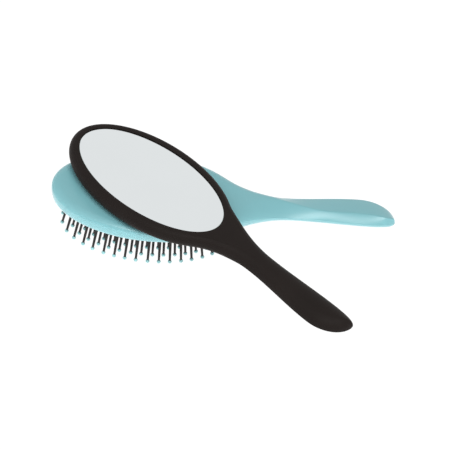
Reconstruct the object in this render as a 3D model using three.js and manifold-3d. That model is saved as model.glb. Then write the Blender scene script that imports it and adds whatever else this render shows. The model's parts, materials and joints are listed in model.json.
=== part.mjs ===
import * as THREE from 'three';
import { mergeVertices } from 'three/addons/utils/BufferGeometryUtils.js';
import Module from 'manifold-3d';

// Oval styling brush with a hand mirror that swivels on its back.
// Millimetres, +Z up. The origin is on the swivel axis, in the front face of the mirror glass.
// The brush's handle points along +X and its pins point down.

const wasm = await Module();
wasm.setup();

// Outline that the brush and the mirror share, seen from above
const headLength = 61.6;
const headWidth = 72.7;
const handleReach = 161.6;
const shoulderX = 47;
const neckX = 93;
const neckWidth = 17;
const bulbX = 139.5;
const bulbWidth = 21.7;
const neckBend = -0.9;
const neckBendX = 60;
const palmBend = 3.8;
const palmBendX = 150;
const tipLean = 0.6;

// Sections of the two bodies
const brushHeadDepth = 10.5;
const mirrorHeadDepth = 10.1;
const handleDepth = 10;
const brushEdgeReach = 6;
const brushUnderReach = 3.4;
const brushEdgeDrop = 3.2;
const mirrorEdgeReach = 4.6;
const mirrorEdgeDrop = 5.2;
const nearEdgeDrop = 3.8;
const facetDrop = 3;
const handleRoundness = 0.94;
const ridgeStartX = 68;
const ridgeEndX = 120;
const ridgeBlendX = 88;
const ridgeBlendPower = 0.3;
const ridgeStartShare = 0.8;
const ridgeOffset = 4.6;
const ridgeTipShare = 0.6;
const ridgeLand = 0.3;
const facetStraightness = 0.85;
const nearSideStraightness = 0.75;
const tipInset = 1.5;
const spineTipInset = 8;

// Mirror glass, its foam and the frame round it
const glassLength = 110.6;
const glassWidth = 58.8;
const glassThickness = 2;
const glassBevel = 1.2;
const glassBevelDrop = 0.7;
const rimStand = 0.5;
const foamThickness = 0.8;
const foamMargin = 2;
const frameWeb = 1.4;

// Fits: the gap between pieces that seat on each other, and the gap between the two bodies
const seatGap = 0.3;
const swivelGap = 1.2;

// Cuts run past the faces that they leave by the overcut, and joined shapes sink in by the weld
const overcut = 1;
const weld = 0.5;
const narrowestPlan = 0.05;

// Covers under the mirror and under the brush handle
const coverThickness = 2.6;
const mirrorStripThickness = 3.8;
const mirrorStripStartX = 70;
const mirrorCoverInset = 6;
const handleCoverInset = 3.6;
const coverLedge = 1.6;
const coverStartX = 66;
const coverTipInset = 11.6;
const handleSkin = 2.6;

// Pivot through the middle of both heads
const spindleDiameter = 12;
const spindleFlangeSide = 24;
const spindleFlangeThickness = 1.6;
const spindleNoseDiameter = 8;
const keyRibWidth = 1.5;
const keyRibHeight = 1.3;
const thrustWasherDiameter = 30;
const thrustWasherThickness = 1.4;
const bushDiameter = 16;
const bushFlangeDiameter = 22;
const bushFlangeThickness = 1;
const waveWasherDiameter = 20;
const waveWasherThickness = 0.4;
const waveHeight = 0.6;
const waveCount = 3;
const stopWasherDiameter = 20;
const stopWasherThickness = 1;
const stopEarReach = 13.9;
const stopEarAngle = 16;
const stopRibInner = 11.4;
const stopRibOuter = 15;
const pivotScrewDiameter = 3;
const pivotScrewHeadDiameter = 8;
const pivotScrewHeadHeight = 2;
const pivotScrewLength = 7.6;

// Swivel of the mirror, in degrees about the axis through both heads
const restSwing = -40.5;
const stopSweep = 180;
const stopClearance = 1;

// Small screws
const screwDiameter = 2;
const screwHeadDiameter = 4;
const screwHeadHeight = 1.2;
const screwWall = 1.2;
const headScrewLength = 4;
const handleScrewLength = 5;
const bossDiameter = 6;
const headScrewX = 36;
const headScrewY = 14;
const firstScrewX = 78;
const lastScrewInset = 21.6;
const screwWebLength = 8;

// Cushion in the brush head
const backWall = 2.6;
const cushionX = 1;
const ringLength = 112.8;
const ringWidth = 62.4;
const ringLip = 3;
const ringHeight = 2.3;
const flangeThickness = 1.8;
const cushionSkin = 2.2;
const cushionCrown = 3.2;
const crownFullness = 0.8;
const crownShares = [0.35, 0.65, 0.87, 1];
const sliceThickness = 1.2;

// Pins, set in oval rows that follow the cushion's edge
const pinRows = 5;
const singleRows = 3;
const pinRowPitch = 5.75;
const pinPitch = 6.6;
const pinPhase = 0.2;
const pinEdgeMargin = 2.9;
const pinLength = 20.6;
const pinRootDiameter = 1.9;
const pinEndDiameter = 1.3;
const pinTipDiameter = 2.2;
const pinTipShoulder = 0.8;
const pinFanAlong = 0.25;
const pinFanGrowth = 0.0012;
const pinFanAcross = 0.62;
const pinLean = 2.5;

// Facets on the round pieces
const roundSides = 20;
const screwSides = 10;
const shankSides = 6;
const pinSides = 4;
const ovalSides = 36;
const outlineSteps = 34;
const underAngles = [90, 65, 40, 15];
const topAngles = [0, 30, 60, 90];
const rowSamples = 720;

const teal = { color: 0x80bcc3, roughness: 0.5, metalness: 0 };
const black = { color: 0x292522, roughness: 0.6, metalness: 0 };
const rubber = { color: 0x1c1b1b, roughness: 0.75, metalness: 0 };
const silvered = { color: 0xdfe3e4, roughness: 0.05, metalness: 1 };
const steel = { color: 0xb9bcbe, roughness: 0.35, metalness: 1 };
const brass = { color: 0xc2a25a, roughness: 0.35, metalness: 1 };
const acetal = { color: 0xe8e6df, roughness: 0.45, metalness: 0 };
const foam = { color: 0x6d6f70, roughness: 0.95, metalness: 0 };

// Places along the handle, worked out from the sizes above
const coverEndX = handleReach - coverTipInset;
const handleScrewX = [firstScrewX, handleReach - lastScrewInset];

// Sections of the two heads
const brushHead = {
  depth: brushHeadDepth,
  edgeReach: brushEdgeReach,
  underReach: brushUnderReach,
  edgeDrop: brushEdgeDrop,
};
const mirrorHead = {
  depth: mirrorHeadDepth,
  edgeReach: mirrorEdgeReach,
  underReach: mirrorEdgeReach,
  edgeDrop: mirrorEdgeDrop,
};

// Heights, worked out from the sizes above
const foamTop = -glassThickness - seatGap;
const recessFloor = foamTop - foamThickness - seatGap;
const webUnderside = recessFloor - frameWeb;
const mirrorUnderside = rimStand - mirrorHeadDepth;
const mirrorCoverTop = mirrorUnderside + coverThickness;
const mirrorStripTop = mirrorUnderside + mirrorStripThickness;
const mirrorHandleRoof = mirrorUnderside + handleDepth - handleSkin;
const spindleFlangeBottom = mirrorCoverTop + seatGap;
const brushTop = mirrorUnderside - swivelGap;
const brushBottom = brushTop - brushHeadDepth;
const thrustTop = mirrorUnderside - seatGap;
const thrustBottom = thrustTop - thrustWasherThickness;
const thrustFloor = thrustBottom - seatGap;
const wallUnderside = brushTop - backWall;
const bushFlangeTop = wallUnderside - seatGap;
const bushBottom = bushFlangeTop - bushFlangeThickness;
const waveTop = bushBottom - seatGap;
const waveBottom = waveTop - waveHeight - waveWasherThickness;
const stopTop = waveBottom - seatGap;
const stopBottom = stopTop - stopWasherThickness;
const pivotScrewSeat = stopBottom - seatGap;
const ringTop = brushBottom + ringHeight;
const flangeBottom = ringTop + seatGap;
const flangeTop = flangeBottom + flangeThickness;
const sliceTop = brushBottom + sliceThickness;
const padEdge = sliceTop + seatGap;
const brushHandleBottom = brushTop - handleDepth;
const brushHandleRoof = brushTop - handleSkin;
const handleCoverTop = brushHandleBottom + coverThickness;

// Turning geometry into solids and back

function solidOf(geometry) {
  const bare = geometry.index ? geometry.toNonIndexed() : geometry.clone();
  bare.deleteAttribute('normal');
  bare.deleteAttribute('uv');
  const merged = mergeVertices(bare, 1e-4);
  const vertProperties = new Float32Array(merged.attributes.position.array);
  const triVerts = new Uint32Array(merged.index.array);
  return new wasm.Manifold(new wasm.Mesh({ numProp: 3, vertProperties, triVerts }));
}

function geometryOf(solid) {
  const mesh = solid.getMesh();
  const geometry = new THREE.BufferGeometry();
  geometry.setAttribute('position', new THREE.BufferAttribute(new Float32Array(mesh.vertProperties), 3));
  geometry.setIndex(new THREE.BufferAttribute(new Uint32Array(mesh.triVerts), 1));
  return geometry;
}

function join(solids) {
  return solids.reduce((whole, piece) => whole.add(piece));
}

// Plain solids, given by their heights

function prism(shape, bottom, top, segments = ovalSides / 2) {
  const geometry = new THREE.ExtrudeGeometry(shape, {
    depth: top - bottom,
    bevelEnabled: false,
    curveSegments: segments,
  });
  geometry.translate(0, 0, bottom);
  return solidOf(geometry);
}

function oval(length, width, x = 0) {
  const shape = new THREE.Shape();
  shape.absellipse(x, 0, length / 2, width / 2, 0, 2 * Math.PI);
  return shape;
}

function box(xFrom, xTo, yFrom, yTo, zFrom, zTo) {
  const geometry = new THREE.BoxGeometry(xTo - xFrom, yTo - yFrom, zTo - zFrom);
  geometry.translate((xFrom + xTo) / 2, (yFrom + yTo) / 2, (zFrom + zTo) / 2);
  return solidOf(geometry);
}

function drum(diameter, bottom, top, x = 0, y = 0, sides = roundSides) {
  const geometry = new THREE.CylinderGeometry(diameter / 2, diameter / 2, top - bottom, sides);
  geometry.rotateX(Math.PI / 2);
  geometry.translate(x, y, (bottom + top) / 2);
  return solidOf(geometry);
}

function washer(outer, inner, bottom, top) {
  const profile = [
    new THREE.Vector2(inner / 2, bottom),
    new THREE.Vector2(outer / 2, bottom),
    new THREE.Vector2(outer / 2, top),
    new THREE.Vector2(inner / 2, top),
    new THREE.Vector2(inner / 2, bottom),
  ];
  const geometry = new THREE.LatheGeometry(profile, roundSides);
  geometry.rotateX(Math.PI / 2);
  return solidOf(geometry);
}

// A closed stack of ovals, each given by its half length, half width and height
function ovalStack(levels, x) {
  const positions = [];
  for (const level of levels) {
    for (let i = 0; i < ovalSides; i += 1) {
      const angle = (2 * Math.PI * i) / ovalSides;
      positions.push(x + level[0] * Math.cos(angle), level[1] * Math.sin(angle), level[2]);
    }
  }
  const index = [];
  for (let ring = 0; ring + 1 < levels.length; ring += 1) {
    pushBand(index, ring * ovalSides, (ring + 1) * ovalSides, ovalSides);
  }
  pushFan(index, positions, 0, x, levels[0][2], false);
  pushFan(index, positions, (levels.length - 1) * ovalSides, x, levels[levels.length - 1][2], true);
  return solidOf(indexed(positions, index));
}

function pushBand(index, lower, upper, count) {
  for (let i = 0; i < count; i += 1) {
    const next = (i + 1) % count;
    index.push(lower + i, lower + next, upper + next);
    index.push(lower + i, upper + next, upper + i);
  }
}

function pushFan(index, positions, ring, x, z, faceUp) {
  const centre = positions.length / 3;
  positions.push(x, 0, z);
  for (let i = 0; i < ovalSides; i += 1) {
    const next = (i + 1) % ovalSides;
    const pair = faceUp ? [ring + i, ring + next] : [ring + next, ring + i];
    index.push(centre, pair[0], pair[1]);
  }
}

function indexed(positions, index) {
  const geometry = new THREE.BufferGeometry();
  geometry.setAttribute('position', new THREE.Float32BufferAttribute(positions, 3));
  geometry.setIndex(index);
  return geometry;
}

// The shared outline: an oval head that flows into a waisted handle with a skewed tip

function ease(value, from, to) {
  const share = THREE.MathUtils.clamp((value - from) / (to - from), 0, 1);
  return share * share * (3 - 2 * share);
}

function hermite(x, from, to, start, startSlope, end) {
  const span = to - from;
  const t = (x - from) / span;
  const lead = (2 * t - 3) * t * t + 1;
  const pull = ((t - 2) * t + 1) * t * span;
  return lead * start + pull * startSlope + (1 - lead) * end;
}

function halfWidth(x) {
  const headHalf = headWidth / 2;
  if (x <= shoulderX) {
    return headHalf * Math.sqrt(Math.max(0, 1 - (x / headLength) ** 2));
  }
  if (x <= neckX) {
    const start = headHalf * Math.sqrt(1 - (shoulderX / headLength) ** 2);
    const slope = -(headHalf ** 2 / headLength ** 2) * (shoulderX / start);
    return hermite(x, shoulderX, neckX, start, slope, neckWidth / 2);
  }
  if (x <= bulbX) {
    return hermite(x, neckX, bulbX, neckWidth / 2, 0, bulbWidth / 2);
  }
  const share = Math.min(1, (x - bulbX) / (handleReach - bulbX));
  return (bulbWidth / 2) * Math.sqrt(1 - share ** 2);
}

// The middle of the handle sways: to the near side at the neck and to the far side in the palm.
// Where the tip rounds off, it leans back to the near side
function middle(x) {
  const neck = neckBend * ease(x, shoulderX, neckBendX);
  const palm = THREE.MathUtils.lerp(neck, palmBend, ease(x, neckBendX, palmBendX));
  const lean = x > bulbX ? tipLean * (bulbWidth / 2 - halfWidth(x)) : 0;
  return palm - lean;
}

// Outline points, anticlockwise from the handle's tip, each with its side and its inward direction
function outlinePoints() {
  const points = [];
  const length = headLength + handleReach;
  for (let i = 0; i < 2 * outlineSteps; i += 1) {
    const share = (1 + Math.cos((Math.PI * i) / outlineSteps)) / 2;
    const x = share * length - headLength;
    const side = i === 0 || i === outlineSteps ? 0 : Math.sign(outlineSteps - i);
    points.push({ x, y: middle(x) + side * halfWidth(x), side });
  }
  points.forEach((point, i) => {
    const before = points[(i + points.length - 1) % points.length];
    const after = points[(i + 1) % points.length];
    const along = new THREE.Vector2(after.x - before.x, after.y - before.y).normalize();
    point.inward = new THREE.Vector2(-along.y, along.x);
  });
  return points;
}

// A body with its flat back up at height 0: an oval slab whose handle is domed below
// and carries a ridge above, with a facet on the far side of the ridge
function bodySolid(head) {
  const points = outlinePoints();
  const positions = [];
  for (const angle of underAngles) {
    points.forEach((point) => positions.push(...ringPoint(point, angle, true, head)));
  }
  for (const angle of topAngles) {
    points.forEach((point) => positions.push(...ringPoint(point, angle, false, head)));
  }
  const rings = positions.length / 3 / points.length;
  const index = [];
  for (let ring = 0; ring + 1 < rings; ring += 1) {
    pushBand(index, ring * points.length, (ring + 1) * points.length, points.length);
  }
  pushCap(index, 0, points.length, false);
  pushCap(index, (rings - 1) * points.length, points.length, true);
  return solidOf(indexed(positions, index));
}

function ringPoint(point, angle, under, head) {
  const handle = ease(point.x, shoulderX, neckX);
  const handleDrop = point.side > 0 ? facetDrop : nearEdgeDrop;
  const edgeDrop = THREE.MathUtils.lerp(head.edgeDrop, handleDrop, handle);
  const depth = THREE.MathUtils.lerp(head.depth, handleDepth, handle);
  const edge = headTarget(point, under ? head.underReach : head.edgeReach);
  const target = under ? underTarget(point, edge, handle) : ridgeTarget(point, edge, handle);
  const straight = under ? 0 : handle * (point.side > 0 ? facetStraightness : nearSideStraightness);
  const turn = THREE.MathUtils.degToRad(angle);
  const inward = THREE.MathUtils.lerp(1 - Math.cos(turn), angle / 90, straight);
  const rise = THREE.MathUtils.lerp(Math.sin(turn), angle / 90, straight);
  const x = THREE.MathUtils.lerp(point.x, target.x, inward);
  const y = THREE.MathUtils.lerp(point.y, target.y, inward);
  const z = under ? -edgeDrop - (depth - edgeDrop) * rise : -edgeDrop * (1 - rise);
  return [x, y, z];
}

function headTarget(point, reach) {
  return new THREE.Vector2(point.x, point.y).addScaledVector(point.inward, reach);
}

// Under the handle the rounding reaches nearly to the middle of the handle
function underTarget(point, edge, handle) {
  const x = squeeze(point.x, handleReach - spineTipInset);
  const reach = THREE.MathUtils.lerp(0, handleRoundness, handle);
  const spine = new THREE.Vector2(x, THREE.MathUtils.lerp(point.y, middle(x), reach));
  return edge.lerp(spine, handle);
}

// On top the ridge leaves the far edge at the neck and runs to the tip, inside the outline
function ridgeTarget(point, edge, handle) {
  const x = squeeze(point.x, handleReach - tipInset);
  const swing = ease(x, ridgeStartX, ridgeEndX);
  const farEdge = middle(x) + halfWidth(x) * ridgeStartShare;
  const offset = Math.min(ridgeOffset, halfWidth(x) * ridgeTipShare);
  const crest = THREE.MathUtils.lerp(farEdge, middle(x) - offset, swing);
  const spine = new THREE.Vector2(x, crest + point.side * ridgeLand);
  const share = ease(point.x, shoulderX, ridgeBlendX) * handle ** ridgeBlendPower;
  return edge.lerp(spine, share);
}

// Draws the last stretch of the handle in, so that a line along it ends short of the tip
function squeeze(x, end) {
  const from = bulbX;
  return x <= from ? x : from + ((x - from) * (end - from)) / (handleReach - from);
}

function pushCap(index, first, count, faceUp) {
  const half = count / 2;
  for (let i = 0; i < half; i += 1) {
    const a = first + i;
    const b = first + i + 1;
    const c = first + ((count - i - 1) % count);
    const d = first + ((count - i) % count);
    const quad = faceUp ? [a, b, c, a, c, d] : [a, c, b, a, d, c];
    for (let k = 0; k < 6; k += 3) {
      const triangle = quad.slice(k, k + 3);
      if (new Set(triangle).size === 3) {
        index.push(...triangle);
      }
    }
  }
}

// The same outline drawn in by a distance, between two stations along the handle
function insetOutline(inset, from, to) {
  const far = [];
  const near = [];
  const steps = outlineSteps;
  for (let i = 0; i <= steps; i += 1) {
    const share = (1 - Math.cos((Math.PI * i) / steps)) / 2;
    const x = THREE.MathUtils.lerp(from, to, share);
    const half = insetHalfWidth(x, inset, from, to);
    far.push(new THREE.Vector2(x, middle(x) + half));
    near.push(new THREE.Vector2(x, middle(x) - half));
  }
  const corners = [...near, ...far.reverse()];
  return new THREE.Shape(corners);
}

function insetHalfWidth(x, inset, from, to) {
  const endRadius = bulbWidth / 2 - inset;
  const fromEnd = Math.min(x - from, to - x);
  const rounding = Math.sqrt(Math.max(0, 1 - Math.max(0, 1 - fromEnd / endRadius) ** 2));
  return Math.max(narrowestPlan, (halfWidth(x) - inset) * rounding);
}

function handlePlan(inset, from, to, bottom, top) {
  return prism(insetOutline(inset, from, to), bottom, top);
}

// The whole outline drawn in, by one distance at the head and another along the handle
function drawnInPlan(headInset, handleInset, bottom, top) {
  const end = handleReach - handleInset;
  const corners = outlinePoints().map((point) => {
    if (point.x > bulbX) {
      const x = squeeze(point.x, end);
      const half = insetHalfWidth(x, handleInset, coverStartX, end);
      return new THREE.Vector2(x, middle(x) + point.side * half);
    }
    const inset = THREE.MathUtils.lerp(headInset, handleInset, ease(point.x, shoulderX, neckX));
    return new THREE.Vector2(point.x, point.y).addScaledVector(point.inward, inset);
  });
  return prism(new THREE.Shape(corners), bottom, top);
}

// Screws point up from under their cover, with their heads sunk into it

function screwSolid({ x, y, coverTop, length }) {
  const seat = coverTop - screwWall;
  const head = drum(screwHeadDiameter, seat - screwHeadHeight, seat, x, y, screwSides);
  const shank = drum(screwDiameter, seat - weld, seat + length, x, y, shankSides);
  return head.add(shank);
}

function screwHole({ x, y, coverTop, length }) {
  const seat = coverTop - screwWall;
  const sinkDiameter = screwHeadDiameter + 2 * seatGap;
  const sink = drum(sinkDiameter, seat - handleDepth, seat + seatGap, x, y, screwSides);
  const bore = drum(screwDiameter + 2 * seatGap, seat - weld, seat + length + seatGap, x, y, shankSides);
  return sink.add(bore);
}

function mirrorScrews() {
  const sides = [-1, 1];
  const head = sides.flatMap((end) => sides.map((side) => (
    { x: end * headScrewX, y: side * headScrewY, coverTop: mirrorCoverTop, length: headScrewLength }
  )));
  const handle = handleScrewX.map((x) => (
    { x, y: -middle(x), coverTop: mirrorStripTop, length: handleScrewLength }
  ));
  return [...head, ...handle];
}

function brushScrews() {
  return handleScrewX.map((x) => (
    { x, y: middle(x), coverTop: handleCoverTop, length: handleScrewLength }
  ));
}

// Mirror body, built with its handle over the brush's handle

function mirrorBody() {
  return bodySolid(mirrorHead).rotate([180, 0, 0]).translate([0, 0, mirrorUnderside]);
}

// The mirror is turned over, so what follows its outline is turned over with it
function turnedOver(solid) {
  return solid.mirror([0, 1, 0]);
}

// The space of the back cover, grown by a gap where the frame makes room for it
function mirrorCoverSpace(grow) {
  const bottom = mirrorUnderside - overcut;
  const insets = [mirrorCoverInset - grow, handleCoverInset - grow];
  const plate = drawnInPlan(...insets, bottom, mirrorCoverTop + grow);
  const strip = drawnInPlan(...insets, bottom, mirrorStripTop + grow);
  const handleHalf = box(mirrorStripStartX - grow, handleReach, -headWidth, headWidth, bottom, rimStand);
  return turnedOver(plate.add(strip.intersect(handleHalf)));
}

function mirrorCavity() {
  const inset = handleCoverInset + coverLedge;
  const headPlan = oval(glassLength - 2 * coverLedge, glassWidth - 2 * coverLedge);
  const head = prism(headPlan, mirrorCoverTop, webUnderside);
  const from = mirrorStripStartX + coverLedge;
  const handle = handlePlan(inset, from, coverEndX, mirrorStripTop, mirrorHandleRoof);
  return head.add(turnedOver(handle));
}

function mirrorBosses() {
  return join(mirrorScrews().map(({ x, y, coverTop }) => {
    const roof = coverTop === mirrorStripTop ? mirrorHandleRoof : webUnderside;
    return drum(bossDiameter, coverTop + seatGap, roof + weld, x, y);
  }));
}

function mirrorFrame() {
  const glassPlan = oval(glassLength + 2 * seatGap, glassWidth + 2 * seatGap);
  return mirrorBody()
    .subtract(prism(glassPlan, recessFloor, rimStand + overcut))
    .subtract(mirrorCoverSpace(seatGap))
    .subtract(mirrorCavity())
    .add(mirrorBosses())
    .subtract(join(mirrorScrews().map(screwHole)));
}

// Two ribs on the cover hold the spindle's square flange, so that it turns with the mirror
function keyRibs() {
  const inner = spindleFlangeSide / 2 + seatGap;
  const outer = inner + keyRibWidth;
  const bottom = mirrorCoverTop - weld;
  const top = mirrorCoverTop + keyRibHeight;
  const far = box(-inner, inner, inner, outer, bottom, top);
  const near = box(-inner, inner, -outer, -inner, bottom, top);
  return far.add(near);
}

function mirrorBackCover() {
  const boreDiameter = spindleDiameter + 2 * seatGap;
  const spindleBore = drum(boreDiameter, mirrorUnderside - overcut, mirrorCoverTop + overcut);
  return mirrorBody()
    .intersect(mirrorCoverSpace(0))
    .add(keyRibs())
    .subtract(spindleBore)
    .subtract(join(mirrorScrews().map(screwHole)));
}

function mirrorGlass() {
  const a = glassLength / 2;
  const b = glassWidth / 2;
  return ovalStack([
    [a, b, -glassThickness],
    [a, b, -glassBevelDrop],
    [a - glassBevel, b - glassBevel, 0],
  ], 0);
}

function glassFoam() {
  const plan = oval(glassLength - 2 * foamMargin, glassWidth - 2 * foamMargin);
  return prism(plan, foamTop - foamThickness, foamTop);
}

function pivotSpindle() {
  const half = spindleFlangeSide / 2;
  const flangeTopFace = spindleFlangeBottom + spindleFlangeThickness;
  const boreTop = pivotScrewSeat + pivotScrewLength + seatGap;
  return box(-half, half, -half, half, spindleFlangeBottom, flangeTopFace)
    .add(drum(spindleDiameter, stopTop + seatGap, spindleFlangeBottom + weld))
    .add(drum(spindleNoseDiameter, stopBottom + seatGap, stopTop + seatGap + weld))
    .subtract(drum(pivotScrewDiameter + 2 * seatGap, stopBottom, boreTop, 0, 0, screwSides));
}

function stopWasher() {
  const half = THREE.MathUtils.degToRad(stopEarAngle / 2);
  const ear = new THREE.Shape();
  ear.absarc(0, 0, stopEarReach, -half, half, false);
  ear.absarc(0, 0, stopWasherDiameter / 2 - weld, half, -half, true);
  const bore = drum(spindleNoseDiameter + 2 * seatGap, stopBottom - overcut, stopTop + overcut);
  return drum(stopWasherDiameter, stopBottom, stopTop)
    .add(prism(ear, stopBottom, stopTop))
    .subtract(bore);
}

function pivotScrew() {
  const seat = pivotScrewSeat;
  return drum(pivotScrewHeadDiameter, seat - pivotScrewHeadHeight, seat)
    .add(drum(pivotScrewDiameter, seat - weld, seat + pivotScrewLength, 0, 0, screwSides));
}

// Brush body

function brushBody() {
  return bodySolid(brushHead).translate([0, 0, brushTop]);
}

// The ear of the stop washer meets this rib at both ends of the mirror's half turn
function stopRib() {
  const free = THREE.MathUtils.degToRad(stopEarAngle / 2 + stopClearance);
  const sweep = THREE.MathUtils.degToRad(stopSweep);
  const end = 2 * Math.PI - sweep - free;
  const rib = new THREE.Shape();
  rib.absarc(0, 0, stopRibOuter, free, end, false);
  rib.absarc(0, 0, stopRibInner, end, free, true);
  rib.closePath();
  return prism(rib, stopBottom, wallUnderside + weld);
}

// Room for the cushion: a step for its ring and its flange, and the hollow behind it
function cushionPocket() {
  const ringPlan = oval(ringLength + 2 * seatGap, ringWidth + 2 * seatGap, cushionX);
  const hollowPlan = oval(ringLength - 2 * ringLip, ringWidth - 2 * ringLip, cushionX);
  return prism(ringPlan, brushBottom - overcut, flangeTop + seatGap)
    .add(prism(hollowPlan, flangeTop, wallUnderside));
}

// Room for the handle's cover, and the hollow over it with a web across at each screw
function brushHandleHollow() {
  const coverBottom = brushHandleBottom - brushHeadDepth;
  const coverTop = handleCoverTop + seatGap;
  const coverRoom = handlePlan(
    handleCoverInset - seatGap,
    coverStartX - seatGap,
    coverEndX + seatGap,
    coverBottom,
    coverTop,
  );
  const cavity = handlePlan(
    handleCoverInset + coverLedge,
    coverStartX + coverLedge,
    coverEndX - coverLedge,
    handleCoverTop,
    brushHandleRoof,
  );
  const webs = brushScrews().map(({ x }) => {
    const half = screwWebLength / 2;
    return box(x - half, x + half, -headWidth, headWidth, handleCoverTop, brushTop);
  });
  return coverRoom.add(cavity.subtract(join(webs)));
}

function brushBackShell() {
  return brushBody()
    .subtract(cushionPocket())
    .add(stopRib())
    .subtract(brushHandleHollow())
    .subtract(drum(bushDiameter + 2 * seatGap, wallUnderside - overcut, brushTop + overcut))
    .subtract(drum(thrustWasherDiameter + 2 * seatGap, thrustFloor, brushTop + overcut))
    .subtract(join(brushScrews().map(screwHole)));
}

function brushHandleCover() {
  const bottom = brushHandleBottom - brushHeadDepth;
  return brushBody()
    .intersect(handlePlan(handleCoverInset, coverStartX, coverEndX, bottom, handleCoverTop))
    .subtract(join(brushScrews().map(screwHole)));
}

function thrustWasher() {
  return washer(thrustWasherDiameter, spindleDiameter + 2 * seatGap, thrustBottom, thrustTop);
}

function pivotBush() {
  const inner = spindleDiameter + 2 * seatGap;
  const top = thrustFloor - seatGap;
  const profile = [
    [inner / 2, bushBottom],
    [bushFlangeDiameter / 2, bushBottom],
    [bushFlangeDiameter / 2, bushFlangeTop],
    [bushDiameter / 2, bushFlangeTop],
    [bushDiameter / 2, top],
    [inner / 2, top],
    [inner / 2, bushBottom],
  ].map(([radius, height]) => new THREE.Vector2(radius, height));
  const geometry = new THREE.LatheGeometry(profile, roundSides);
  geometry.rotateX(Math.PI / 2);
  return solidOf(geometry);
}

// A spring washer: a thin flat ring that waves up and down round its circle
function waveWasher() {
  const inner = spindleDiameter / 2 + seatGap;
  const outer = waveWasherDiameter / 2;
  const sides = roundSides * 2;
  const section = [[inner, 0], [outer, 0], [outer, waveWasherThickness], [inner, waveWasherThickness]];
  const positions = [];
  for (const [radius, lift] of section) {
    for (let i = 0; i < sides; i += 1) {
      const angle = (2 * Math.PI * i) / sides;
      const wave = (waveHeight * (1 + Math.cos(waveCount * angle))) / 2;
      positions.push(radius * Math.cos(angle), radius * Math.sin(angle), waveBottom + lift + wave);
    }
  }
  const index = [];
  for (let ring = 0; ring < section.length; ring += 1) {
    pushBand(index, ring * sides, ((ring + 1) % section.length) * sides, sides);
  }
  return solidOf(indexed(positions, index));
}

function cushionRing() {
  const openPlan = oval(ringLength - 2 * ringLip, ringWidth - 2 * ringLip, cushionX);
  return prism(oval(ringLength, ringWidth, cushionX), brushBottom, ringTop)
    .subtract(prism(openPlan, brushBottom - overcut, ringTop + overcut));
}

// Depth of the crowned cushion below its edge, for a share of the way out from the middle
function crownDrop(share) {
  return cushionCrown * (1 - share ** 2) ** crownFullness;
}

function crownLevels(length, width, edge) {
  return crownShares.map((share) => [length * share, width * share, edge - crownDrop(share)]);
}

function cushionPad() {
  const a = ringLength / 2;
  const b = ringWidth / 2;
  const openA = a - ringLip - seatGap;
  const openB = b - ringLip - seatGap;
  const outside = ovalStack([
    ...crownLevels(openA, openB, padEdge),
    [openA, openB, flangeBottom],
    [a, b, flangeBottom],
    [a, b, flangeTop],
  ], cushionX);
  const hollow = ovalStack([
    ...crownLevels(openA - cushionSkin, openB - cushionSkin, padEdge + cushionSkin),
    [openA - cushionSkin, openB - cushionSkin, flangeTop + overcut],
  ], cushionX);
  return outside.subtract(hollow);
}

// The layer of the cushion that the pins stand in
function pinLayer() {
  const a = ringLength / 2 - ringLip - 2 * seatGap;
  const b = ringWidth / 2 - ringLip - 2 * seatGap;
  const lower = crownLevels(a, b, sliceTop - sliceThickness);
  const upper = crownLevels(a, b, sliceTop);
  return ovalStack([...lower, ...upper.reverse()], cushionX);
}

function rowSize(row) {
  const inset = ringLip + pinEdgeMargin + row * pinRowPitch;
  return [ringLength / 2 - inset, ringWidth / 2 - inset];
}

// Places in one oval row, evenly spaced from the middle of its near side and staggered from row to row
function rowPlaces(row) {
  const [a, b] = rowSize(row);
  const along = [0];
  for (let i = 1; i <= rowSamples; i += 1) {
    const from = (2 * Math.PI * (i - 1)) / rowSamples;
    const to = (2 * Math.PI * i) / rowSamples;
    const step = Math.hypot(a * (Math.sin(to) - Math.sin(from)), b * (Math.cos(to) - Math.cos(from)));
    along.push(along[i - 1] + step);
  }
  const total = along[rowSamples];
  const count = Math.round(total / pinPitch);
  return Array.from({ length: count }, (_, k) => {
    const wanted = (total * (k + ((pinPhase + row / 2) % 1))) / count;
    const angle = (2 * Math.PI * along.findIndex((length) => length >= wanted)) / rowSamples;
    return [a * Math.sin(angle), -b * Math.cos(angle)];
  });
}

// Where a pin stands and which way it points: the pins fan out from the middle
function pinStance([x, y]) {
  const [a, b] = [ringLength / 2 - ringLip, ringWidth / 2 - ringLip];
  const share = Math.min(1, Math.hypot(x / a, y / b));
  const along = Math.tan(THREE.MathUtils.degToRad(pinLean + pinFanAlong * x + pinFanGrowth * x ** 2));
  const across = Math.tan(THREE.MathUtils.degToRad(pinFanAcross * y));
  const direction = new THREE.Vector3(along, across, -1).normalize();
  const foot = new THREE.Vector3(x + cushionX, y, sliceTop - sliceThickness - crownDrop(share));
  return { foot, direction };
}

// A tapered pin with a round tip, rooted in the layer
function pin(place) {
  const { foot, direction } = pinStance(place);
  const root = -sliceThickness / 2;
  const tipRadius = pinTipDiameter / 2;
  const tipMiddle = pinLength + tipRadius;
  const profile = [
    [0, root],
    [pinRootDiameter / 2, root],
    [pinEndDiameter / 2, pinLength],
    [tipRadius, tipMiddle],
    [pinEndDiameter / 2, tipMiddle + tipRadius * pinTipShoulder],
    [0, tipMiddle + tipRadius],
  ].map(([radius, height]) => new THREE.Vector2(radius, height));
  const geometry = new THREE.LatheGeometry(profile, pinSides);
  geometry.applyQuaternion(new THREE.Quaternion().setFromUnitVectors(new THREE.Vector3(0, 1, 0), direction));
  geometry.translate(foot.x, foot.y, foot.z);
  return solidOf(geometry);
}

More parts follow.
